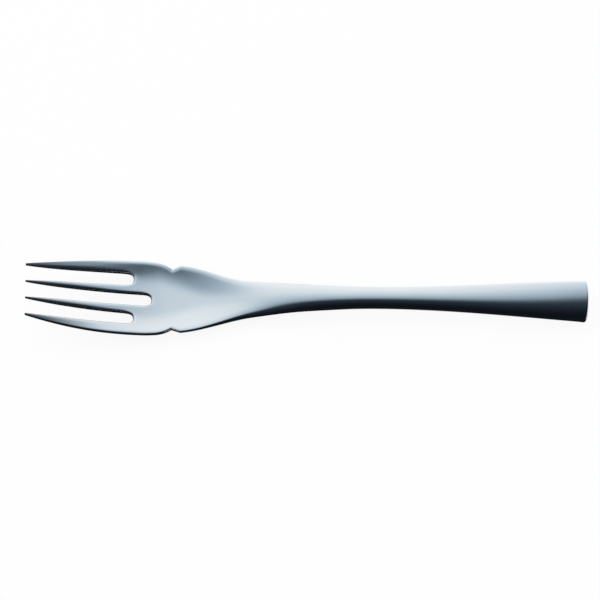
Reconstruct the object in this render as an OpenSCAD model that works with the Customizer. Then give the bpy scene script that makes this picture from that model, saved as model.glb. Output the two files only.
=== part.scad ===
// Fish fork with a hollow handle.
// The fork lies on a table: tine tips at -X, butt at +X, hollow of the head upwards.
// Places along the fork are distances from the tine tips.

/* [Overall] */
// Length from the tine tips to the butt
fork_length = 185; // [175:1:200]

/* [Head] */
// Width of the head at its widest
head_width = 26.3; // [25:0.1:29]
// Place of the widest part
widest_at = 37.5; // [34:0.5:41]
// Width over the shoulders behind the notches
shoulder_width = 23.8; // [21.5:0.1:25]
// Thickness of the head behind the tines
head_thickness = 2.1; // [1.7:0.05:3]
// Depth of the hollow of the head
dish_depth = 2.4; // [0.6:0.05:3]
// Place where the hollow runs out in the neck
dish_end = 78; // [70:0.5:80]
// Place where the head touches the table
belly_at = 55.5; // [52:0.5:60]

/* [Side notches] */
// Place of the notches
notch_at = 48; // [46.5:0.5:50]
// Depth of a notch
notch_depth = 1.5; // [0.8:0.1:2.5]
// Length of the flank on the tine side of a notch
notch_lead = 6; // [2:0.1:7]
// Length of the flank on the handle side of a notch
notch_trail = 2.9; // [1.5:0.1:4]

/* [Tines] */
// Distance between neighbouring tine tips
tip_pitch = 5.9; // [5.6:0.05:6.4]
// Width of a tine at its tip
tip_width = 0.65; // [0.4:0.05:1]
// Thickness of a tine at its tip
tip_thickness = 0.9; // [0.6:0.05:1.4]
// Height of the tips over the table, to their underside
tip_rise = 10.4; // [7:0.1:13]
// Distance between neighbouring slots at their ends
root_pitch = 7; // [6.7:0.05:7.4]
// Width of a slot behind the points
slot_width = 4.4; // [3.8:0.05:4.7]
// Rounding of the corners at the end of a slot
slot_end_radius = 1.5; // [1:0.1:1.8]
// Length over which the tines draw in to points
point_length = 24; // [14:0.5:30]
// Depth of the two outer slots
side_slot_depth = 35.3; // [30:0.1:38]
// Depth of the middle slot
middle_slot_depth = 41.2; // [36:0.1:43]

/* [Neck and handle] */
// Width of the neck
neck_width = 12.8; // [11:0.1:14]
// Place of the neck
neck_at = 74; // [70:0.5:78]
// Thickness where the neck becomes the handle
joint_thickness = 5.2; // [4.8:0.1:6]
// Width of the handle at its waist
waist_width = 7.7; // [7:0.1:9.5]
// Thickness of the handle at its waist
waist_thickness = 5.5; // [5:0.1:6.5]
// Place of the waist
waist_at = 116; // [108:1:128]
// Width of the handle at the butt
butt_width = 14.8; // [12:0.1:18]
// Thickness of the handle at the butt
butt_thickness = 6.3; // [5.5:0.1:8]
// Height of the arch under the handle
arch_height = 2.4; // [1:0.1:4]
// Place of the top of the arch
arch_at = 92; // [86:0.5:100]

/* [Hollow handle] */
// Place where the head ends and the handle shells begin
joint_at = 90; // [84:0.5:96]
// Wall of the handle shells
shell_wall = 0.8; // [0.5:0.05:1.1]
// Length of the head's spigot inside the shells
spigot_length = 5; // [3:0.5:8]
// Length of the tang past the spigot
tang_length = 32; // [20:1:50]
// Width of the tang
tang_width = 4; // [2.4:0.1:4.4]
// Thickness of the tang
tang_thickness = 2; // [1.2:0.1:2.4]
// Depth of the keys cut in the sides of the tang
key_depth = 0.7; // [0.3:0.05:1]
// Length of one key
key_length = 3; // [2:0.1:4]
// Length of the cap that shows at the butt
cap_length = 3.6; // [1.6:0.1:5]
// Rounding of the cap's edge
cap_radius = 0.8; // [0.5:0.1:1.5]
// Share of the cap's length by which its underside falls short of its top
butt_lean = 0.7; // [0:0.05:0.8]
// Length of the cap's spigot inside the shells
cap_spigot_length = 4; // [2:0.5:8]

/* [Fits] */
// Film of solder or cement between two pieces that meet end to end
solder_gap = 0.05; // [0.02:0.01:0.1]
// Clearance round a piece that goes inside another
fit_gap = 0.1; // [0.05:0.01:0.2]

/* [Hidden] */

steel_colour = "#b4bec6";
cement_colour = "#8d8a80";

// Steepness of the outline at the tips, shoulders, neck and butt
tip_flare = 0.2;
shoulder_slope = -0.1;
neck_slope = -0.1;
butt_flare = 0.05;
// Steepness of the underside at the tips and where it comes down to the butt
tip_slope = -0.33;
butt_slope = -0.07;
// Steepness of the thickness at the tips and where the neck becomes the handle
tip_swell = 0.075;
neck_swell = 0.05;
// Steepness of the slots' spread and of their width at the tips
spread_slope = 0.045;
point_slope = -0.13;
// Powers that curve the two flanks of a notch in to its point: 1 is straight
lead_power = 2.4;
trail_power = 1;
// Power of the section: high for a plate with a rounded rim, 2 for an oval
rim_power = 12;
oval_power = 2;
// Share of the thickness that stays upright at the rim and at the handle's seam
rim_share = 0.35;
seam_share = 0.04;
// Keys along each side of the tang
key_count = 3;
// Facets across half a section, and round the cap's edge and a corner of a slot
section_steps = 18;
edge_steps = 6;
corner_steps = 5;
// Longest facet along the head, the handle and a slot, and the fewest between two places
head_step = 2.8;
handle_step = 4.5;
slot_step = 4;
fewest_steps = 4;
// Amount by which a cut runs past what it cuts
overcut = 1;
// Grid of heights for the points of the cap, so that its leaning face stays flat to the last digit
height_grid = 0.001;

shoulder_at = notch_at + notch_trail;
tip_half_width = 1.5 * tip_pitch + tip_width / 2;
tip_slot_width = tip_pitch - tip_width;
cap_at = fork_length - cap_length;
shell_start = joint_at + solder_gap;
shell_end = cap_at - solder_gap;
spigot_end = joint_at + spigot_length;
cap_spigot_start = cap_at - cap_spigot_length;
tang_end = spigot_end + tang_length;
fork_height = tip_rise + tip_thickness;

// Value at s of the smooth curve through knots, each a [place, value, slope]
function curve(knots, s) =
    let (last = len(knots) - 1)
    s <= knots[0][0] ? knots[0][1] :
    s >= knots[last][0] ? knots[last][1] :
    let (
        k = max([for (j = [0 : last - 1]) if (knots[j][0] <= s) j]),
        span = knots[k + 1][0] - knots[k][0],
        u = (s - knots[k][0]) / span
    )
    knots[k][1] * (1 + 2 * u) * pow(1 - u, 2)
        + knots[k][2] * span * u * pow(1 - u, 2)
        + knots[k + 1][1] * u * u * (3 - 2 * u)
        - knots[k + 1][2] * span * u * u * (1 - u);

// Values in rising order, each once
function sorted(values) =
    len(values) < 2 ? values :
    concat(
        sorted([for (v = values) if (v < values[0]) v]),
        [values[0]],
        sorted([for (v = values) if (v > values[0]) v])
    );

// Places from the first key to the last, with every key among them
function stations(keys, step) =
    let (order = sorted(keys), last = len(order) - 1)
    concat(
        [for (k = [0 : last - 1])
            let (
                span = order[k + 1] - order[k],
                count = max(fewest_steps, ceil(span / step))
            )
            for (j = [0 : count - 1]) order[k] + span * j / count],
        [order[last]]
    );

function reversed(list) = [for (k = [len(list) - 1 : -1 : 0]) list[k]];

// Half the width of the fork, without its notches
function outline(s) = curve([
    [0, tip_half_width, tip_flare],
    [widest_at, head_width / 2, 0],
    [shoulder_at, shoulder_width / 2, shoulder_slope],
    [neck_at, neck_width / 2, neck_slope],
    [waist_at, waist_width / 2, 0],
    [fork_length, butt_width / 2, butt_flare]
], s);

// How far a notch cuts into the outline
function notch(s) =
    let (
        u = s < notch_at ? (notch_at - s) / notch_lead : (s - notch_at) / notch_trail,
        power = s < notch_at ? lead_power : trail_power
    )
    u < 1 ? notch_depth * pow(1 - u, power) : 0;

function half_width(s) = outline(s) - notch(s);

// Height of the underside over the table, on the centre line
function underside(s) = curve([
    [0, tip_rise, tip_slope],
    [belly_at, 0, 0],
    [arch_at, arch_height, 0],
    [fork_length - cap_radius, 0, butt_slope]
], s);

function thickness(s) = curve([
    [0, tip_thickness, tip_swell],
    [belly_at, head_thickness, 0],
    [joint_at, joint_thickness, neck_swell],
    [waist_at, waist_thickness, 0],
    [fork_length, butt_thickness, 0]
], s);

function middle(s) = underside(s) + thickness(s) / 2;

// Rise of the hollow head's section at y over its middle
function hollow(s, y) =
    pow(y / outline(s), 2) * curve([
        [0, 0, 0],
        [belly_at, dish_depth, 0],
        [dish_end, 0, 0]
    ], s);

// Share of half the thickness at q, from -1 at one rim to 1 at the other
function fullness(s, q) =
    let (
        round_share = curve([[belly_at, 0, 0], [joint_at, 1, 0]], s),
        power = rim_power + (oval_power - rim_power) * round_share,
        upright = rim_share + (seam_share - rim_share) * round_share
    )
    upright + (1 - upright) * sqrt(1 - pow(abs(q), power));

// Half a section from one rim to the other, over the top with side 1 or underneath with -1,
// drawn in all round by inset
function half_section(s, side, inset) = [
    for (k = [0 : section_steps])
        let (
            q = cos(180 * k / section_steps),
            y = (half_width(s) - inset) * q
        )
        [
            s - fork_length / 2,
            y,
            middle(s) + hollow(s, y) + side * (thickness(s) / 2 - inset) * fullness(s, q)
        ]
];

function section(s, inset) =
    concat(half_section(s, 1, inset), reversed(half_section(s, -1, inset)));

// Section of one handle shell: its outside, then its inside, down to the seam
function shell_section(s, side) =
    let (
        outer = half_section(s, side, 0),
        inner = half_section(s, side, shell_wall),
        seam = middle(s) + side * solder_gap / 2,
        foot = function(p) [p[0], p[1], seam],
        loop = concat(
            [foot(outer[0])], outer, [foot(outer[section_steps])],
            [foot(inner[section_steps])], reversed(inner), [foot(inner[0])]
        )
    )
    side > 0 ? loop : reversed(loop);

// Faces of the walls between sections that each have count points
function wall_faces(sections, count) = [
    for (i = [0 : sections - 2], j = [0 : count - 1])
        let (
            a = i * count + j,
            b = i * count + (j + 1) % count
        )
        each [[a, a + count, b + count], [a, b + count, b]]
];

// Solid through a row of sections, each one loop
module loft(sections) {
    count = len(sections[0]);
    first_end = [for (k = [0 : count - 1]) k];
    last_start = (len(sections) - 1) * count;
    last_end = [for (k = reversed(first_end)) last_start + k];
    polyhedron(
        points = [for (points = sections) each points],
        faces = concat([first_end], wall_faces(len(sections), count), [last_end]),
        convexity = 6
    );
}

// Solid through a row of sections, each the outside and the inside of a wall
module wall_loft(sections) {
    count = len(sections[0]);
    first_end = [for (k = [0 : count / 2 - 2]) [k, k + 1, count - 2 - k, count - 1 - k]];
    last_start = (len(sections) - 1) * count;
    last_end = [for (face = first_end) [for (k = reversed(face)) last_start + k]];
    polyhedron(
        points = [for (points = sections) each points],
        faces = concat(first_end, wall_faces(len(sections), count), last_end),
        convexity = 6
    );
}

// Sideways place of a slot's middle: index is -1, 0 or 1
function slot_middle(s, index) =
    index * curve([[0, tip_pitch, spread_slope], [side_slot_depth, root_pitch, 0]], s);

function slot_half_width(s) =
    curve([[0, tip_slot_width, point_slope], [point_length, slot_width, 0]], s) / 2;

// Cut between two tines, with round corners at its end
module slot(index, depth) {
    end_at = depth - slot_end_radius;
    corner_at = slot_width / 2 - slot_end_radius;
    places = stations([-overcut, 0, end_at], slot_step);
    near_side = [for (s = places) [s, slot_middle(s, index) - slot_half_width(s)]];
    far_side = [for (s = places) [s, slot_middle(s, index) + slot_half_width(s)]];
    near_corner = [
        for (k = [1 : corner_steps])
            let (angle = 90 * k / corner_steps)
            [
                end_at + slot_end_radius * sin(angle),
                slot_middle(end_at, index) - corner_at - slot_end_radius * cos(angle)
            ]
    ];
    far_corner = [
        for (p = reversed(near_corner)) [p[0], 2 * slot_middle(end_at, index) - p[1]]
    ];
    translate([-fork_length / 2, 0, -overcut])
        linear_extrude(fork_height + 2 * overcut)
            polygon(concat(near_side, near_corner, far_corner, reversed(far_side)));
}

// Flat bar with keys cut in its sides, from a place to the tang's end, grown by extra
module tang(from, extra) {
    half = tang_width / 2 + extra;
    key_pitch = tang_length / (key_count + 1);
    side = [
        for (k = [1 : key_count])
            let (key_middle = spigot_end + k * key_pitch, reach = key_length / 2 - extra)
            each [
                [key_middle - reach, half],
                [key_middle - reach, half - key_depth],
                [key_middle + reach, half - key_depth],
                [key_middle + reach, half]
            ]
    ];
    near_edge = concat([[from, half]], side, [[tang_end + extra, half]]);
    far_edge = [for (p = reversed(near_edge)) [p[0], -p[1]]];
    translate([-fork_length / 2, 0, middle(joint_at) - tang_thickness / 2 - extra])
        linear_extrude(tang_thickness + 2 * extra)
            polygon(concat(near_edge, far_edge));
}

// Tines, hollow head and neck in one piece, with the spigot and tang that go into the handle
module fork_head() {
    body_keys = [
        0, notch_at - notch_lead, notch_at, shoulder_at, belly_at, neck_at, joint_at
    ];
    spigot_places = [joint_at - overcut, spigot_end];
    color(steel_colour) {
        difference() {
            loft([for (s = stations(body_keys, head_step)) section(s, 0)]);
            slot(-1, side_slot_depth);
            slot(0, middle_slot_depth);
            slot(1, side_slot_depth);
        }
        loft([for (s = stations(spigot_places, head_step)) section(s, shell_wall + fit_gap)]);
        tang(spigot_end - overcut, 0);
    }
}

// One half of the hollow handle: side is 1 for the upper half and -1 for the lower
module handle_shell(side) {
    places = stations([shell_start, waist_at, shell_end], handle_step);
    color(steel_colour)
        wall_loft([for (s = places) shell_section(s, side)]);
}

module upper_shell() {
    handle_shell(1);
}

module lower_shell() {
    handle_shell(-1);
}

// Section of the cap, drawn back towards its underside by the lean of the butt
function cap_section(s, inset) =
    let (face_top = butt_thickness - cap_radius)
    [
        for (p = section(s, inset))
            let (
                z = height_grid * round(p[2] / height_grid),
                back = butt_lean * (face_top - z) / butt_thickness
            )
            [p[0] - back * (s - cap_at), p[1], z]
    ];

// Plug in the end of the handle, with a rounded edge round its leaning face
module butt_cap() {
    edge_at = fork_length - cap_radius;
    rounded_edge = [
        for (k = [0 : edge_steps])
            let (angle = 90 * k / edge_steps)
            cap_section(edge_at + cap_radius * sin(angle), cap_radius * (1 - cos(angle)))
    ];
    spigot_places = [cap_spigot_start, cap_at + (edge_at - cap_at) / 2];
    color(steel_colour) {
        loft(concat([section(cap_at, 0)], rounded_edge));
        loft([for (s = stations(spigot_places, handle_step)) section(s, shell_wall + fit_gap)]);
    }
}

// Cement between the two spigots, cast round the tang
module handle_filling() {
    ends = [spigot_end + fit_gap, waist_at, cap_spigot_start - fit_gap];
    color(cement_colour)
        difference() {
            loft([for (s = stations(ends, handle_step)) section(s, shell_wall + fit_gap)]);
            tang(spigot_end - overcut, fit_gap);
        }
}

fork_head();
upper_shell();
lower_shell();
butt_cap();
handle_filling();
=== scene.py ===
"""Looks of a fish fork: a pressed steel head, two handle shells filled with cement, and a butt cap."""

import math

import bmesh
import bpy
from mathutils import Matrix, Vector


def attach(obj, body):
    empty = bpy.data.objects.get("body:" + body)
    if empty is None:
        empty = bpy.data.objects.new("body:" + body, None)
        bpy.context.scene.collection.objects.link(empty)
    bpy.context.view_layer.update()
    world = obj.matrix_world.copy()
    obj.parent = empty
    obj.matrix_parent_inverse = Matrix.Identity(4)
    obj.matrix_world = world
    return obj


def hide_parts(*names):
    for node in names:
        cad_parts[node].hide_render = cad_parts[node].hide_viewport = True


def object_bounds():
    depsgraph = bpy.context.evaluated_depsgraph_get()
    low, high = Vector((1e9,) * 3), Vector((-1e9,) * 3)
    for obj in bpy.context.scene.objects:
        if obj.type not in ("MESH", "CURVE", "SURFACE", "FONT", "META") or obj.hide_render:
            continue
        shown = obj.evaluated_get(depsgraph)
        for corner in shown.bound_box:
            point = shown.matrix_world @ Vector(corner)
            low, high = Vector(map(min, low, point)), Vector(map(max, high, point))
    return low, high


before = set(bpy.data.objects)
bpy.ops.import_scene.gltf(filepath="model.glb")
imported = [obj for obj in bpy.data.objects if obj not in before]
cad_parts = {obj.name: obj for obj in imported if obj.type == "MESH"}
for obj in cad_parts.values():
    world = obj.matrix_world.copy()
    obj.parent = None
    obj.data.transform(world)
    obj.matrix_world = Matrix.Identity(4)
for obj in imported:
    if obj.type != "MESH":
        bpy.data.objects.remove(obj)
cad_low, cad_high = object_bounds()

MM = 0.001
QUARTER_TURN = math.pi / 2

# Sizes of the fork, as in the part's source. Places along it are distances from the tine tips.
TIPS_X = cad_low.x
FORK_LENGTH = cad_high.x - cad_low.x
HEAD_WIDTH = 26.3 * MM
WIDEST_AT = 37.5 * MM
SHOULDER_WIDTH = 23.8 * MM
HEAD_THICKNESS = 2.1 * MM
BELLY_AT = 55.5 * MM
NOTCH_AT = 48 * MM
NOTCH_DEPTH = 1.5 * MM
NOTCH_LEAD = 6 * MM
NOTCH_TRAIL = 2.9 * MM
TIP_PITCH = 5.9 * MM
TIP_WIDTH = 0.65 * MM
TIP_THICKNESS = 0.9 * MM
TIP_RISE = 10.4 * MM
ROOT_PITCH = 7 * MM
SLOT_WIDTH = 4.4 * MM
SLOT_END_RADIUS = 1.5 * MM
POINT_LENGTH = 24 * MM
SIDE_SLOT_DEPTH = 35.3 * MM
MIDDLE_SLOT_DEPTH = 41.2 * MM
NECK_WIDTH = 12.8 * MM
NECK_AT = 74 * MM
JOINT_THICKNESS = 5.2 * MM
WAIST_WIDTH = 7.7 * MM
WAIST_THICKNESS = 5.5 * MM
WAIST_AT = 116 * MM
BUTT_WIDTH = 14.8 * MM
BUTT_THICKNESS = 6.3 * MM
ARCH_HEIGHT = 2.4 * MM
ARCH_AT = 92 * MM
JOINT_AT = 90 * MM
SHELL_WALL = 0.8 * MM
FIT_GAP = 0.1 * MM
SPIGOT_LENGTH = 5 * MM
TANG_LENGTH = 32 * MM
TANG_WIDTH = 4 * MM
TANG_THICKNESS = 2 * MM
KEY_DEPTH = 0.7 * MM
KEY_LENGTH = 3 * MM
KEY_COUNT = 3
CAP_LENGTH = 3.6 * MM
CAP_RADIUS = 0.8 * MM
BUTT_LEAN = 0.7
CAP_SPIGOT_LENGTH = 4 * MM

# Steepness of the outline at the tips, shoulders, neck and butt.
TIP_FLARE = 0.2
SHOULDER_SLOPE = -0.1
NECK_SLOPE = -0.1
BUTT_FLARE = 0.05
# Steepness of the underside at the tips and where it comes down to the butt.
TIP_SLOPE = -0.33
BUTT_SLOPE = -0.07
# Steepness of the thickness at the tips and where the neck becomes the handle.
TIP_SWELL = 0.075
NECK_SWELL = 0.05
# Steepness of the slots' spread and of their width at the tips.
SPREAD_SLOPE = 0.045
POINT_SLOPE = -0.13
# Powers that curve the two flanks of a notch in to its point: 1 is straight.
LEAD_POWER = 2.4
TRAIL_POWER = 1

# The outer two of the four tips lie one and a half pitches from the centre line.
TIPS_HALF_WIDTH = 1.5 * TIP_PITCH + TIP_WIDTH / 2
SHOULDER_AT = NOTCH_AT + NOTCH_TRAIL
CAP_AT = FORK_LENGTH - CAP_LENGTH
CAP_EDGE_AT = FORK_LENGTH - CAP_RADIUS
SPIGOT_END = JOINT_AT + SPIGOT_LENGTH
TANG_END = SPIGOT_END + TANG_LENGTH
SPIGOT_INSET = SHELL_WALL + FIT_GAP

# Curves of the fork: knots of place, value and slope.
OUTLINE = [
    (0, TIPS_HALF_WIDTH, TIP_FLARE),
    (WIDEST_AT, HEAD_WIDTH / 2, 0),
    (SHOULDER_AT, SHOULDER_WIDTH / 2, SHOULDER_SLOPE),
    (NECK_AT, NECK_WIDTH / 2, NECK_SLOPE),
    (WAIST_AT, WAIST_WIDTH / 2, 0),
    (FORK_LENGTH, BUTT_WIDTH / 2, BUTT_FLARE),
]
UNDERSIDE = [
    (0, TIP_RISE, TIP_SLOPE),
    (BELLY_AT, 0, 0),
    (ARCH_AT, ARCH_HEIGHT, 0),
    (CAP_EDGE_AT, 0, BUTT_SLOPE),
]
THICKNESS = [
    (0, TIP_THICKNESS, TIP_SWELL),
    (BELLY_AT, HEAD_THICKNESS, 0),
    (JOINT_AT, JOINT_THICKNESS, NECK_SWELL),
    (WAIST_AT, WAIST_THICKNESS, 0),
    (FORK_LENGTH, BUTT_THICKNESS, 0),
]
SLOT_SPREAD = [(0, TIP_PITCH, SPREAD_SLOPE), (SIDE_SLOT_DEPTH, ROOT_PITCH, 0)]
SLOT_OPENING = [(0, TIP_PITCH - TIP_WIDTH, POINT_SLOPE), (POINT_LENGTH, SLOT_WIDTH, 0)]

# The hollow of the head: a trough with a flat floor behind the tines, and a groove in the neck.
# How steep its sides are: most of all behind the slots, less in the groove, and falling fast there.
HOLLOW_START = 4 * MM
STEEPEST_AT = 46 * MM
GROOVE_AT = 66 * MM
HOLLOW_END = 82 * MM
SIDE_STEEPNESS = 0.355
GROOVE_STEEPNESS = 0.2
GROOVE_FALL = -0.013 / MM
HOLLOW_STEEPNESS = [
    (HOLLOW_START, 0, 0),
    (STEEPEST_AT, SIDE_STEEPNESS, 0),
    (GROOVE_AT, GROOVE_STEEPNESS, GROOVE_FALL),
    (HOLLOW_END, 0, 0),
]
# Share of the half width at which its floor turns up into the sides, and the power that flattens
# the floor. Both are the trough's as far as TROUGH_END, and then draw in to the groove's.
TROUGH_END = 42 * MM
NARROW_FROM = 62 * MM
ROUND_FROM = 60 * MM
TROUGH_TURN = 0.6
GROOVE_TURN = 0.3
TROUGH_POWER = 6.5
GROOVE_POWER = 3
HOLLOW_TURN = [(TROUGH_END, TROUGH_TURN, 0), (NARROW_FROM, GROOVE_TURN, 0)]
HOLLOW_POWER = [(TROUGH_END, TROUGH_POWER, 0), (ROUND_FROM, GROOVE_POWER, 0)]

# How much thinner the head is at its rim, and over what distance from it.
RIM_FROM = 20 * MM
RIM_SHARE = 0.3
HEAD_RIM = 1.3 * MM
NECK_RIM = 2 * MM
RIM_THINNING = [(RIM_FROM, 0, 0), (WIDEST_AT, RIM_SHARE, 0)]
RIM_WIDTH = [(WIDEST_AT, HEAD_RIM, 0), (GROOVE_AT, NECK_RIM, 0)]
# How much thinner a tine is along the slots than in its middle: its point is rounded on that side.
TIP_ROUNDING = 0.5
POINT_ROUNDING = [(0, TIP_ROUNDING, 0), (SIDE_SLOT_DEPTH, 0, 0)]
# The neck turns from a plate, 0, into an oval, 1. A higher power makes it turn later, so its top
# turns before its underside.
ROUNDNESS = [(BELLY_AT, 0, 0), (JOINT_AT, 1, 0)]
NECK_TOP_POWER = 1.2
NECK_UNDER_POWER = 3

# The flat blank that the head is pressed from, and the rounding of all its edges. The blank is
# thicker than the head, so that the press flattens the rounding to a soft, wide one.
BLANK_THICKNESS = 6 * MM
EDGE_ROUNDING = 0.8 * MM
EDGE_STEPS = 3
EDGE_ANGLE = math.radians(60)
# Cuts close to the rounding keep the walls between them upright when the blank is smoothed. They
# lie this many roundings in from its faces.
WALL_CUT = 1.15
# Steps between its rows, those along the notches, and the step from the middle slot to the notches.
BLANK_STEP = 4 * MM
NOTCH_STEP = 0.75 * MM
BEHIND_SLOT = 1.8 * MM
# How far the points of a slot's end reach past a true round, which smoothing takes back.
SLOT_END_REACH = 1.06
HEAD_SMOOTHING = 2

HANDLE_FACETS = 96
HANDLE_STEP = 1.5 * MM
CAP_EDGE_STEPS = 10
SMOOTH_ANGLE = math.radians(70)
# Distance under which two places count as one.
TINY = 0.01 * MM


def curve(knots, s):
    """Value at s of the smooth curve through knots."""
    if s <= knots[0][0]:
        return knots[0][1]
    for (start, low, leave), (end, high, arrive) in zip(knots, knots[1:]):
        if s < end:
            span = end - start
            u = (s - start) / span
            rest = 1 - u
            return (low * (1 + 2 * u) * rest**2 + leave * span * u * rest**2
                    + high * u**2 * (3 - 2 * u) - arrive * span * u**2 * rest)
    return knots[-1][1]


def half_width(s):
    """Half the fork's width at s, less what the side notches take."""
    if s < NOTCH_AT:
        along, power = (NOTCH_AT - s) / NOTCH_LEAD, LEAD_POWER
    else:
        along, power = (s - NOTCH_AT) / NOTCH_TRAIL, TRAIL_POWER
    return curve(OUTLINE, s) - NOTCH_DEPTH * max(1 - along, 0) ** power


def middle(s):
    """Height of the middle of the fork's thickness at s."""
    return curve(UNDERSIDE, s) + curve(THICKNESS, s) / 2


def hollow(s, y):
    """Rise of the hollow head's section at y over its middle."""
    wide = curve(OUTLINE, s)
    turn = curve(HOLLOW_TURN, s)
    power = curve(HOLLOW_POWER, s)
    share = (abs(y / wide) ** power + turn**power) ** (1 / power) - turn
    return curve(HOLLOW_STEEPNESS, s) * wide * share


def mix(start, end, share):
    """Value at a share of the way from start to end."""
    return start + (end - start) * share


def between(value, places, targets):
    """Target at value, in straight lines between the targets of the places."""
    for start, end, low, high in zip(places, places[1:], targets, targets[1:]):
        if value <= end:
            break
    return mix(low, high, (value - start) / (end - start))


def spaced(places, step):
    """The places, with others evenly between them so that none is further than step."""
    full = []
    for start, end in zip(places, places[1:]):
        count = math.ceil((end - start) / step)
        full += [mix(start, end, k / count) for k in range(count)]
    return full + [places[-1]]


# Modelling steps

MODES = {"verts": "VERT", "edges": "EDGE", "faces": "FACE"}
# A face looks along an axis when its normal reaches further along it than this.
FACING = 0.5


def new_piece(name, primitive, size=(1, 1, 1), **settings):
    """Adds a primitive at its size as a named piece, its place in its mesh, in edit mode."""
    bpy.ops.object.select_all(action="DESELECT")
    primitive(**settings)
    piece = bpy.context.object
    piece.name = piece.data.name = name
    piece.scale = size
    bpy.ops.object.transform_apply(location=True, rotation=True, scale=True)
    bpy.ops.object.mode_set(mode="EDIT")
    return piece


def plane(**settings):
    """Adds a sheet of side 1, which new_piece brings to its size."""
    bpy.ops.mesh.primitive_plane_add(size=1, **settings)


def cube(**settings):
    """Adds a block of side 1, which new_piece brings to its size."""
    bpy.ops.mesh.primitive_cube_add(size=1, **settings)


def pick(piece, kind, test):
    """Selects only the verts, edges or faces of a piece in edit mode that pass the test."""
    bpy.ops.mesh.select_mode(type=MODES[kind])
    bpy.ops.mesh.select_all(action="DESELECT")
    work = bmesh.from_edit_mesh(piece.data)
    for element in getattr(work, kind):
        if test(element):
            element.select_set(True)
    work.select_flush_mode()
    bmesh.update_edit_mesh(piece.data)


def centre(face):
    """Middle of the corners of a face."""
    return sum((v.co for v in face.verts), Vector()) / len(face.verts)


def cut(axis, places, **clear):
    """Cuts the whole piece across an axis at each place."""
    normal = Vector([float(name == axis) for name in "XYZ"])
    for place in places:
        bpy.ops.mesh.select_all(action="SELECT")
        bpy.ops.mesh.bisect(plane_co=normal * place, plane_no=normal, **clear)


def extrude(x=0, y=0, z=0):
    """Extrudes what is selected by a distance along each axis."""
    bpy.ops.mesh.extrude_region_move(TRANSFORM_OT_translate={"value": (x, y, z)})


def face_outwards():
    """Turns all faces of the piece in edit mode outwards."""
    bpy.ops.mesh.select_all(action="SELECT")
    bpy.ops.mesh.normals_make_consistent(inside=False)


def modify(piece, kind, **settings):
    """Adds a modifier with its settings and applies it, in object mode."""
    modifier = piece.modifiers.new(kind.title(), kind)
    for name, value in settings.items():
        setattr(modifier, name, value)
    bpy.context.view_layer.objects.active = piece
    bpy.ops.object.modifier_apply(modifier=modifier.name)


def press(piece, die):
    """Presses a piece in the shape that die gives for each of its points."""
    for point in piece.data.vertices:
        point.co = die(point.co)


def finish_piece(piece, node, material):
    """Smooths the shading, gives the finish and puts the piece in its node's place."""
    bpy.ops.object.mode_set(mode="OBJECT")
    bpy.ops.object.select_all(action="DESELECT")
    piece.select_set(True)
    bpy.context.view_layer.objects.active = piece
    bpy.ops.object.shade_smooth_by_angle(angle=SMOOTH_ANGLE)
    piece.data.materials.clear()
    piece.data.materials.append(material)
    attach(piece, "root")
    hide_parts(node)


# Materials

# Sockets of a mix node's two colours and of its result, whose names other sockets share.
FIRST_COLOUR = 6
SECOND_COLOUR = 7
MIXED_COLOUR = 2


def linear(colour):
    """Linear colour of an sRGB hex value."""
    parts = [int(colour[k:k + 2], 16) / 255 for k in (1, 3, 5)]
    return [c / 12.92 if c <= 0.04045 else ((c + 0.055) / 1.055) ** 2.4 for c in parts] + [1]


def add(tree, kind, inputs=None, **settings):
    """Adds a node with its settings, and sets or links its inputs."""
    made = tree.nodes.new(kind)
    for name, value in settings.items():
        setattr(made, name, value)
    for socket, value in (inputs or {}).items():
        if isinstance(value, bpy.types.NodeSocket):
            tree.links.new(value, made.inputs[socket])
        else:
            made.inputs[socket].default_value = value
    return made


def new_tree(owner):
    """Empty node tree of a new material or world."""
    owner.use_nodes = True
    owner.node_tree.nodes.clear()
    return owner.node_tree


# Stainless steel, polished along its length and then buffed: a soft mirror whose reflections
# blur at their edges, with faint lines along the fork, hairline scratches and cloudy handling marks.
STEEL_LIGHT = "#eaeff3"
STEEL_DULL = "#e3e8ec"
STEEL_ROUGHNESS = 0.1
# Polishing lines are about 0.02 mm apart on such steel; drawn ten times as coarse to show.
LINE_PITCH = 0.2 * MM
LINE_LENGTH = 14 * MM
LINE_ROUGHNESS = 0.03
# Hairline scratches from use are about 0.01 mm wide; drawn wider to show. They run at two angles to
# the fork. Only the highest streaks of a pattern show: from one level of it, and fully from another.
SCRATCH_WIDTH = 0.12 * MM
SCRATCH_LENGTH = 9 * MM
SCRATCH_TURNS = (0.5, -0.35)
SCRATCH_START = 0.68
SCRATCH_FULL = 0.78
SCRATCH_ROUGHNESS = 0.05
STREAK_DETAIL = 2
CLOUD_SIZE = 11 * MM
CLOUD_DETAIL = 3
CLOUD_GRAIN = 0.55
CLOUD_ROUGHNESS = 0.05
RELIEF = 0.0015 * MM


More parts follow.
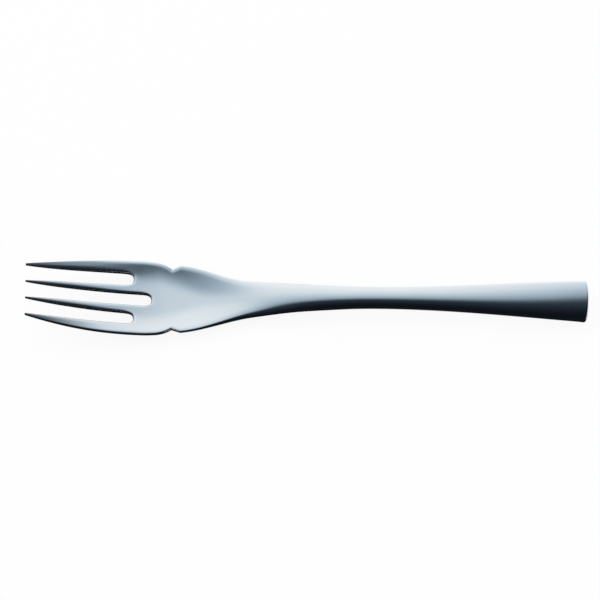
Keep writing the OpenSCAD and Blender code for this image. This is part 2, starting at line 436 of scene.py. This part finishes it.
def polished_steel():
    """The steel of the head, shells and cap."""
    material = bpy.data.materials.new("stainless_steel_polished")
    tree = new_tree(material)
    place = add(tree, "ShaderNodeTexCoord").outputs["Object"]

    def streaks(length, width, turn):
        grain = add(tree, "ShaderNodeMapping", {
            "Vector": place, "Rotation": (0, 0, turn), "Scale": (1 / length, 1 / width, 1 / width)})
        return add(tree, "ShaderNodeTexNoise", {
            "Vector": grain.outputs[0], "Scale": 1, "Detail": STREAK_DETAIL}).outputs[0]

    lines = streaks(LINE_LENGTH, LINE_PITCH, 0)
    clouds = add(tree, "ShaderNodeTexNoise", {
        "Vector": place, "Scale": 1 / CLOUD_SIZE, "Detail": CLOUD_DETAIL,
        "Roughness": CLOUD_GRAIN}).outputs[0]
    scratches = [
        add(tree, "ShaderNodeMapRange", {
            "Value": streaks(SCRATCH_LENGTH, SCRATCH_WIDTH, turn),
            "From Min": SCRATCH_START, "From Max": SCRATCH_FULL}).outputs[0]
        for turn in SCRATCH_TURNS
    ]
    scratched = add(tree, "ShaderNodeMath", {
        0: scratches[0], 1: scratches[1]}, operation="MAXIMUM").outputs[0]

    roughness = STEEL_ROUGHNESS - LINE_ROUGHNESS / 2
    marks = [(lines, LINE_ROUGHNESS), (clouds, CLOUD_ROUGHNESS), (scratched, SCRATCH_ROUGHNESS)]
    for mark, share in marks:
        roughness = add(tree, "ShaderNodeMath", {
            0: mark, 1: share, 2: roughness}, operation="MULTIPLY_ADD").outputs[0]
    colour = add(tree, "ShaderNodeMix", {
        "Factor": clouds, FIRST_COLOUR: linear(STEEL_LIGHT), SECOND_COLOUR: linear(STEEL_DULL)},
        data_type="RGBA").outputs[MIXED_COLOUR]
    height = add(tree, "ShaderNodeMath", {0: lines, 1: scratched}, operation="SUBTRACT").outputs[0]
    relief = add(tree, "ShaderNodeBump", {"Height": height, "Distance": RELIEF}).outputs[0]
    steel = add(tree, "ShaderNodeBsdfPrincipled", {
        "Base Color": colour, "Metallic": 1, "Roughness": roughness, "Normal": relief})
    add(tree, "ShaderNodeOutputMaterial", {"Surface": steel.outputs[0]})
    return material


# Handle cement, cast: a matt grey-brown mass with sandy grain and small air holes.
CEMENT_LIGHT = "#9a968b"
CEMENT_DARK = "#7f7b70"
CEMENT_ROUGHNESS = 0.9
GRAIN_SIZE = 0.5 * MM
GRAIN_DETAIL = 4
# Distance between air holes, and the radius of a hole's floor and of its rim in such distances.
HOLE_PITCH = 1.6 * MM
HOLE_FLOOR = 0.12
HOLE_RIM = 0.2
CEMENT_RELIEF = 0.1 * MM


def cast_cement():
    """The cement that fills the handle."""
    material = bpy.data.materials.new("handle_cement_cast")
    tree = new_tree(material)
    place = add(tree, "ShaderNodeTexCoord").outputs["Object"]
    grain = add(tree, "ShaderNodeTexNoise", {
        "Vector": place, "Scale": 1 / GRAIN_SIZE, "Detail": GRAIN_DETAIL}).outputs[0]
    holes = add(tree, "ShaderNodeTexVoronoi", {
        "Vector": place, "Scale": 1 / HOLE_PITCH}).outputs["Distance"]
    depth = add(tree, "ShaderNodeMapRange", {
        "Value": holes, "From Min": HOLE_FLOOR, "From Max": HOLE_RIM}).outputs[0]
    height = add(tree, "ShaderNodeMath", {0: grain, 1: depth}, operation="MULTIPLY").outputs[0]
    # The colour follows the grain and is darkest down in the air holes: painted shade in the holes.
    colour = add(tree, "ShaderNodeMix", {
        "Factor": height, FIRST_COLOUR: linear(CEMENT_DARK), SECOND_COLOUR: linear(CEMENT_LIGHT)},
        data_type="RGBA").outputs[MIXED_COLOUR]
    relief = add(tree, "ShaderNodeBump", {"Height": height, "Distance": CEMENT_RELIEF}).outputs[0]
    cement = add(tree, "ShaderNodeBsdfPrincipled", {
        "Base Color": colour, "Roughness": CEMENT_ROUGHNESS, "Normal": relief})
    add(tree, "ShaderNodeOutputMaterial", {"Surface": cement.outputs[0]})
    return material


# Head: four tines, the dish with its side notches, and the neck, with a spigot and tang behind

# Where the straight sides of the slots end, by the place of the slots' middle lines.
SLOT_ENDS = {
    -ROOT_PITCH: SIDE_SLOT_DEPTH - SLOT_END_RADIUS,
    0: MIDDLE_SLOT_DEPTH - SLOT_END_RADIUS,
    ROOT_PITCH: SIDE_SLOT_DEPTH - SLOT_END_RADIUS,
}
# How far the points across half a slot's end reach past that, by their distance from its middle line:
# flat as far as its rounded corner, and halfway round the corner.
CORNER = SLOT_WIDTH / 2 - SLOT_END_RADIUS
SLOT_END_POINTS = {
    0: SLOT_END_RADIUS,
    CORNER: SLOT_END_RADIUS,
    CORNER + SLOT_END_RADIUS * math.sin(math.pi / 4): SLOT_END_RADIUS * math.cos(math.pi / 4),
}
# Lines along the blank, from its middle out: both edges of the slots, and the rim.
BLANK_LINES = [
    0, SLOT_WIDTH / 2, ROOT_PITCH - SLOT_WIDTH / 2, ROOT_PITCH + SLOT_WIDTH / 2, HEAD_WIDTH / 2
]


def pressed_lines(s):
    """Where the lines of the blank lie at s once the head is pressed."""
    spread = curve(SLOT_SPREAD, s)
    opening = curve(SLOT_OPENING, s)
    lines = [0, opening / 2, spread - opening / 2, spread + opening / 2]
    if s < WIDEST_AT:
        return lines + [half_width(s)]
    return [line * half_width(s) / BLANK_LINES[-1] for line in BLANK_LINES]


def slot_side(s, y):
    """Share of the way from the middle of a tine to a slot beside it, at y from the centre line."""
    _, *edges = pressed_lines(s)
    outer = y > (edges[1] + edges[2]) / 2
    start, end = edges[2:] if outer else edges[:2]
    off = (2 * y - start - end) / (end - start)
    return max(-off, 0) if outer else abs(off)


def head_die(point):
    """Place of a point of the flat blank in the pressed head."""
    s = point.x - TIPS_X
    wide = half_width(s)
    across = math.copysign(between(abs(point.y), BLANK_LINES, pressed_lines(s)) / wide, point.y)
    near_rim = max(1 - wide * (1 - abs(across)) / curve(RIM_WIDTH, s), 0)
    share = curve(ROUNDNESS, s) ** (NECK_TOP_POWER if point.z > 0 else NECK_UNDER_POWER)
    thinning = curve(RIM_THINNING, s) * near_rim**2 * (1 - share)
    thinning += curve(POINT_ROUNDING, s) * slot_side(s, abs(across) * wide) ** 2
    up = point.z / (BLANK_THICKNESS / 2) * (1 - thinning)
    # The square section of the blank becomes a round one by the neck's share of roundness.
    y = across * mix(1, math.sqrt(1 - up**2 / 2), share)
    z = up * mix(1, math.sqrt(1 - across**2 / 2), share)
    grow = mix(1, 1 / max(math.hypot(y, z), TINY), share)
    y *= grow * wide
    z *= grow * curve(THICKNESS, s) / 2
    return Vector((point.x, y, middle(s) + hollow(s, y) + z))


def cut_blank(head):
    """Cuts the sheet in a grid, takes the slots out of it and rounds their ends."""
    rows = spaced([0, SLOT_ENDS[ROOT_PITCH]], BLANK_STEP)
    rows += [(SIDE_SLOT_DEPTH + SLOT_ENDS[0]) / 2, SLOT_ENDS[0]]
    rows += spaced([MIDDLE_SLOT_DEPTH + BEHIND_SLOT, NOTCH_AT, SHOULDER_AT], NOTCH_STEP)
    rows += spaced([SHOULDER_AT, BELLY_AT, JOINT_AT], BLANK_STEP)[1:]
    cut("X", [TIPS_X + s for s in rows[1:-1]])
    half = SLOT_WIDTH / 2
    tine_middles = {(BLANK_LINES[k] + BLANK_LINES[k + 1]) / 2 for k in (1, 3)}
    slot_lines = {line + off for line in SLOT_ENDS for off in (*SLOT_END_POINTS, half)}
    columns = tine_middles | slot_lines
    columns |= {-column for column in columns}
    cut("Y", sorted(columns))
    pick(head, "faces", lambda face: any(
        abs(centre(face).y - line) < half and centre(face).x < TIPS_X + end
        for line, end in SLOT_ENDS.items()))
    bpy.ops.mesh.delete(type="FACE")
    for off, reach in SLOT_END_POINTS.items():
        pick(head, "verts", lambda point: any(
            abs(abs(point.co.y - line) - off) < TINY and abs(point.co.x - TIPS_X - end) < TINY
            for line, end in SLOT_ENDS.items()))
        bpy.ops.transform.translate(value=(reach * SLOT_END_REACH, 0, 0))


def add_spigot(place, length):
    """Draws the selected open edge in to the inside of the handle shells and runs it along them."""
    wide, high = half_width(place), curve(THICKNESS, place) / 2
    end = place + length
    extrude()
    bpy.ops.transform.resize(
        value=(1, 1 - SPIGOT_INSET / wide, 1 - SPIGOT_INSET / high),
        center_override=(TIPS_X + place, 0, middle(place)))
    extrude(x=length, z=middle(end) - middle(place))
    bpy.ops.mesh.edge_face_add()


def make_tang():
    """Flat bar with keys cut in both its sides, which the cement holds."""
    start = SPIGOT_END - SPIGOT_LENGTH / 2
    tang = new_piece(
        "tang", cube, size=(TANG_END - start, TANG_WIDTH, TANG_THICKNESS),
        location=(TIPS_X + (start + TANG_END) / 2, 0, middle(JOINT_AT)))
    key_middles = [
        TIPS_X + SPIGOT_END + TANG_LENGTH * k / (KEY_COUNT + 1) for k in range(1, KEY_COUNT + 1)]
    cut("X", [place + side * KEY_LENGTH / 2 for place in key_middles for side in (-1, 1)])
    for side in (-1, 1):
        pick(tang, "faces", lambda face: face.normal.y * side > FACING and any(
            abs(centre(face).x - place) < KEY_LENGTH / 2 for place in key_middles))
        extrude(y=-side * KEY_DEPTH)
    face_outwards()
    bpy.ops.object.mode_set(mode="OBJECT")
    return tang


def make_fork_head(steel):
    """Blank with its slots cut and edges rounded, smoothed and pressed, with its spigot and tang."""
    joint_x = TIPS_X + JOINT_AT
    head = new_piece(
        "fork_head_pressed", plane, size=(JOINT_AT, HEAD_WIDTH, 1),
        location=(TIPS_X + JOINT_AT / 2, 0, -BLANK_THICKNESS / 2))
    cut_blank(head)
    bpy.ops.mesh.select_all(action="SELECT")
    extrude(z=BLANK_THICKNESS)
    face_outwards()
    pick(head, "faces", lambda face: centre(face).x > joint_x - TINY)
    bpy.ops.mesh.delete(type="FACE")
    pick(head, "edges", lambda edge: edge.calc_face_angle(0) > EDGE_ANGLE)
    bpy.ops.mesh.bevel(offset=EDGE_ROUNDING, segments=EDGE_STEPS)
    wall = BLANK_THICKNESS / 2 - EDGE_ROUNDING * WALL_CUT
    cut("Z", [-wall, wall])
    bpy.ops.object.mode_set(mode="OBJECT")
    modify(head, "SUBSURF", levels=HEAD_SMOOTHING, render_levels=HEAD_SMOOTHING)
    press(head, head_die)

    bpy.ops.object.mode_set(mode="EDIT")
    pick(head, "edges", lambda edge: edge.is_boundary)
    add_spigot(JOINT_AT, SPIGOT_LENGTH)
    face_outwards()
    bpy.ops.object.mode_set(mode="OBJECT")
    tang = make_tang()
    modify(head, "BOOLEAN", operation="UNION", object=tang, solver="EXACT")
    bpy.data.objects.remove(tang)
    finish_piece(head, "fork_head", steel)


# Handle: two half shells, and the cap that closes its butt

def handle_die(point):
    """Place of a point of a tube of radius 1 in the handle, whose cap leans and has a round edge."""
    s = point.x - TIPS_X
    past = min(max(s - CAP_EDGE_AT, 0), CAP_RADIUS)
    inset = CAP_RADIUS - math.sqrt(CAP_RADIUS**2 - past**2)
    z = middle(s) + point.z * (curve(THICKNESS, s) / 2 - inset)
    back = BUTT_LEAN * (BUTT_THICKNESS - CAP_RADIUS - z) / BUTT_THICKNESS
    return Vector((point.x - back * max(s - CAP_AT, 0), point.y * (half_width(s) - inset), z))


def new_tube(name, start, end, end_fill):
    """Adds a tube of radius 1 along the fork, from start to end."""
    return new_piece(
        name, bpy.ops.mesh.primitive_cylinder_add, vertices=HANDLE_FACETS, radius=1,
        depth=end - start, end_fill_type=end_fill, location=(TIPS_X + (start + end) / 2, 0, 0),
        rotation=(0, QUARTER_TURN, 0))


def make_shell(name, node, steel, **clear):
    """One half of the handle: a half tube pressed to the handle's oval, with its wall inside."""
    shell = new_tube(name, JOINT_AT, CAP_AT, "NOTHING")
    cut("X", [TIPS_X + s for s in spaced([JOINT_AT, CAP_AT], HANDLE_STEP)[1:-1]])
    cut("Z", [0], **clear)
    bpy.ops.object.mode_set(mode="OBJECT")
    press(shell, handle_die)
    modify(shell, "SOLIDIFY", thickness=SHELL_WALL, offset=-1)
    finish_piece(shell, node, steel)


def make_butt_cap(steel):
    """Short closed tube with a round edge, and a spigot that goes into the shells."""
    cap = new_tube("butt_cap_rounded", CAP_AT, FORK_LENGTH, "NGON")
    angles = [QUARTER_TURN * k / CAP_EDGE_STEPS for k in range(CAP_EDGE_STEPS)]
    cut("X", [TIPS_X + CAP_EDGE_AT + CAP_RADIUS * math.sin(angle) for angle in angles])
    pick(cap, "faces", lambda face: face.normal.x < -FACING)
    bpy.ops.mesh.delete(type="FACE")
    bpy.ops.object.mode_set(mode="OBJECT")
    press(cap, handle_die)
    bpy.ops.object.mode_set(mode="EDIT")
    pick(cap, "edges", lambda edge: edge.is_boundary)
    add_spigot(CAP_AT, -CAP_SPIGOT_LENGTH)
    face_outwards()
    finish_piece(cap, "butt_cap", steel)


# Stage

WHITE = "#ffffff"
# Darkest tone of the painted reflections.
REFLECTION_BLACK = "#11141a"

CAMERA_ELEVATION = math.radians(66)
CAMERA_ROLL = math.radians(0.315)
CAMERA_DISTANCE = 2.4
# Width of the camera's sensor, in millimetres as its lens is.
SENSOR = 36
# The picture's side and the fork's length in it, and the pixel where the middle of the fork shows.
PICTURE_PIXELS = 600
FORK_PIXELS = 562.85
PIXEL = FORK_LENGTH / FORK_PIXELS
AIM = Vector((0, 0, 4 * MM))
AIM_PIXEL = (307.1, 299.1)

# A white room with a table top and one soft lamp.
FLOOR_SIZE = 8
FLOOR_HEIGHT = -0.06 * MM
FLOOR_COLOUR = "#f4f5f6"
# Share of plain white in what the eye and the steel see of the floor; the rest is lit, with shadows.
FLOOR_WHITE = 0.9
ROOM_LIGHT = 0.8
SOFTBOX_SIZE = 2
SOFTBOX_PLACE = (-0.9, 1.2, 1.9)
SOFTBOX_POWER = 20

# The fork lies in a small glowing tent that only its polished steel shows: painted reflections of
# light and shade. The cloth overhead is black on the near side and white on the far side. Its tones
# lie by the angle from straight up over to the far side, in degrees, and further to the far side on
# the right.
TENT_RADIUS = 600 * MM
TENT_FACETS = 64
TENT_REFLECTION_TONES = [
    (-70, REFLECTION_BLACK), (-45, "#191e26"), (-28, "#232b34"), (-16, "#303942"), (-10, "#57636e"),
    (-4, "#8f9eaa"), (4, "#acbac6"), (14, "#c3d1da"), (30, "#e0e8ed"), (60, "#f8fafb"), (90, WHITE),
]
TENT_SLANTS = [
    {"From Min": -40 * MM, "From Max": 30 * MM, "To Min": -25 * MM, "To Max": 0},
    {"From Min": 30 * MM, "From Max": 230 * MM, "To Min": 0, "To Max": 402 * MM},
]
# The glowing cloth on its floor, seen only in the steel, is black and white too: painted dark and
# light reflections, with a soft edge that runs under the far side of the head and along the near
# side of the handle.
CLOTH_SIZE = 1.2
CLOTH_HEIGHT = -0.03 * MM
CLOTH_EDGE = 3 * MM
CLOTH_REFLECTION_TONES = [(-CLOTH_EDGE / 2, "#13171c"), (CLOTH_EDGE / 2, WHITE)]
CLOTH_SLANTS = [{"From Min": -30 * MM, "From Max": 15 * MM, "To Min": 9.5 * MM, "To Max": -6 * MM}]
# Low white cards at both ends of the tent glow only in the steel for the eye that looks along it:
# painted reflections of light, which light nothing.
CARD_AT = 330 * MM
CARD_WIDTH = 900 * MM
CARD_HEIGHT = 220 * MM
CARD_REFLECTION_TONES = [(-CARD_WIDTH / 2, "#dfe5ea"), (CARD_WIDTH / 2, WHITE)]
# A dark flag close over the tine tips, seen only in their reflections, keeps the white cloth out of
# them: painted shade on the tips.
FLAG_SIZE = 120 * MM
FLAG_HEIGHT = 26 * MM
TIP_SHADE_TONES = [(-FLAG_SIZE / 2, REFLECTION_BLACK), (FLAG_SIZE / 2, "#3c444c")]
FLAG_FADE = {"From Min": TIPS_X + 6 * MM, "From Max": TIPS_X + 32 * MM}


def make_camera():
    """Looks down at the fork from its near side, as the picture was taken."""
    back = Vector((0, -math.cos(CAMERA_ELEVATION), math.sin(CAMERA_ELEVATION)))
    up = Vector((0, math.sin(CAMERA_ELEVATION), math.cos(CAMERA_ELEVATION)))
    turn = Matrix((Vector((1, 0, 0)), up, back)).transposed() @ Matrix.Rotation(CAMERA_ROLL, 3, "Z")
    off_centre = Vector((AIM_PIXEL[0] - PICTURE_PIXELS / 2, PICTURE_PIXELS / 2 - AIM_PIXEL[1], 0))
    place = AIM + back * CAMERA_DISTANCE - turn @ off_centre * PIXEL
    camera = bpy.data.objects.new("camera", bpy.data.cameras.new("camera"))
    bpy.context.collection.objects.link(camera)
    camera.matrix_world = Matrix.Translation(place) @ turn.to_4x4()
    camera.data.sensor_width = SENSOR
    camera.data.lens = SENSOR * CAMERA_DISTANCE / (PICTURE_PIXELS * PIXEL)
    bpy.context.scene.camera = camera


def sees_background(tree):
    """1 for rays that show the background: straight to the camera, in a gloss or through glass."""
    path = add(tree, "ShaderNodeLightPath").outputs
    seen = add(tree, "ShaderNodeMath", {
        0: path["Is Camera Ray"], 1: path["Is Glossy Ray"]}, operation="MAXIMUM").outputs[0]
    return add(tree, "ShaderNodeMath", {
        0: seen, 1: path["Is Transmission Ray"]}, operation="MAXIMUM").outputs[0]


def make_room():
    """White all round for the eye and the steel, and a plain soft light on the floor."""
    room = bpy.data.worlds.new("white_room")
    bpy.context.scene.world = room
    tree = new_tree(room)
    strength = add(tree, "ShaderNodeMapRange", {
        "Value": sees_background(tree), "To Min": ROOM_LIGHT, "To Max": 1}).outputs[0]
    light = add(tree, "ShaderNodeBackground", {"Color": linear(WHITE), "Strength": strength})
    add(tree, "ShaderNodeOutputWorld", {"Surface": light.outputs[0]})

    lamp = bpy.data.lights.new("softbox", "AREA")
    lamp.size = SOFTBOX_SIZE
    lamp.energy = SOFTBOX_POWER
    softbox = bpy.data.objects.new("softbox", lamp)
    bpy.context.collection.objects.link(softbox)
    softbox.location = SOFTBOX_PLACE
    softbox.rotation_euler = (AIM - softbox.location).to_track_quat("-Z", "Y").to_euler()
    softbox.visible_camera = softbox.visible_glossy = False


def make_floor():
    """Pale table top that keeps the fork's shadow, and can be seen through from underneath."""
    floor = new_piece(
        "floor", plane, size=(FLOOR_SIZE, FLOOR_SIZE, 1), location=(0, 0, FLOOR_HEIGHT))
    bpy.ops.object.mode_set(mode="OBJECT")
    material = bpy.data.materials.new("table_top_matt_white")
    tree = new_tree(material)
    matt = add(tree, "ShaderNodeBsdfDiffuse", {"Color": linear(FLOOR_COLOUR)}).outputs[0]
    white = add(tree, "ShaderNodeEmission", {"Color": linear(WHITE)}).outputs[0]
    share = add(tree, "ShaderNodeMath", {
        0: sees_background(tree), 1: FLOOR_WHITE}, operation="MULTIPLY").outputs[0]
    top = add(tree, "ShaderNodeMixShader", {0: share, 1: matt, 2: white}).outputs[0]
    clear = add(tree, "ShaderNodeBsdfTransparent").outputs[0]
    under = add(tree, "ShaderNodeNewGeometry").outputs["Backfacing"]
    both = add(tree, "ShaderNodeMixShader", {0: under, 1: top, 2: clear}).outputs[0]
    add(tree, "ShaderNodeOutputMaterial", {"Surface": both})
    floor.data.materials.append(material)


def paint_reflections(cloth, tones, slants=(), fade=None):
    """Paints reflection tones by their place in Y on glowing cloth that only the steel's gloss shows.

    Each slant moves the tones in Y over a stretch of X, and a fade thins the cloth out over one.
    """
    bpy.ops.object.mode_set(mode="OBJECT")
    for rays in ("camera", "diffuse", "transmission", "volume_scatter", "shadow"):
        setattr(cloth, "visible_" + rays, False)
    material = bpy.data.materials.new(cloth.name + "_shaded")
    tree = new_tree(material)
    place = add(tree, "ShaderNodeTexCoord").outputs["Object"]
    axes = add(tree, "ShaderNodeSeparateXYZ", {0: place}).outputs
    across = axes["Y"]
    for slant in slants:
        moved = add(tree, "ShaderNodeMapRange", {"Value": axes["X"], **slant}).outputs[0]
        across = add(tree, "ShaderNodeMath", {0: across, 1: moved}, operation="SUBTRACT").outputs[0]
    first, last = tones[0][0], tones[-1][0]
    share = add(tree, "ShaderNodeMapRange", {"Value": across, "From Min": first, "From Max": last})
    ramp = add(tree, "ShaderNodeValToRGB", {"Fac": share.outputs[0]})
    stops = ramp.color_ramp.elements
    for y, _ in tones[1:-1]:
        stops.new((y - first) / (last - first))
    for stop, (_, colour) in zip(stops, tones):
        stop.color = linear(colour)
    glow = add(tree, "ShaderNodeEmission", {"Color": ramp.outputs[0]}).outputs[0]
    if fade:
        thin = add(tree, "ShaderNodeMapRange", {"Value": axes["X"], **fade}).outputs[0]
        clear = add(tree, "ShaderNodeBsdfTransparent").outputs[0]
        glow = add(tree, "ShaderNodeMixShader", {0: thin, 1: glow, 2: clear}).outputs[0]
    add(tree, "ShaderNodeOutputMaterial", {"Surface": glow})
    cloth.data.materials.append(material)


def make_tent():
    """Glowing cloth overhead and on the floor, cards at both ends and a flag over the tips: painted
    reflections.
    """
    tent = new_piece(
        "tent_painted_reflection", bpy.ops.mesh.primitive_uv_sphere_add, segments=TENT_FACETS,
        ring_count=TENT_FACETS // 2, radius=TENT_RADIUS)
    cut("Z", [0], clear_inner=True)
    tones = [(TENT_RADIUS * math.sin(math.radians(angle)), colour) for angle, colour in TENT_REFLECTION_TONES]
    paint_reflections(tent, tones, TENT_SLANTS)
    cloth = new_piece(
        "floor_cloth_painted_reflection", plane, size=(CLOTH_SIZE, CLOTH_SIZE, 1), location=(0, 0, CLOTH_HEIGHT))
    paint_reflections(cloth, CLOTH_REFLECTION_TONES, CLOTH_SLANTS)
    for end, place in (("left", -CARD_AT), ("right", CARD_AT)):
        card = new_piece(
            end + "_card_painted_reflection", plane, size=(CARD_HEIGHT, CARD_WIDTH, 1),
            location=(place, 0, CARD_HEIGHT / 2), rotation=(0, QUARTER_TURN, 0))
        paint_reflections(card, CARD_REFLECTION_TONES)
    flag = new_piece(
        "tip_flag_painted_shade", plane, size=(FLAG_SIZE, FLAG_SIZE, 1), location=(TIPS_X, 0, FLAG_HEIGHT))
    paint_reflections(flag, TIP_SHADE_TONES, fade=FLAG_FADE)


steel = polished_steel()
make_fork_head(steel)
make_shell("upper_shell_pressed", "upper_shell", steel, clear_inner=True)
make_shell("lower_shell_pressed", "lower_shell", steel, clear_outer=True)
make_butt_cap(steel)
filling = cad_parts["handle_filling"]
filling.data.materials.clear()
filling.data.materials.append(cast_cement())

make_room()
make_floor()
make_tent()
make_camera()
bpy.context.scene.view_settings.view_transform = "Standard"
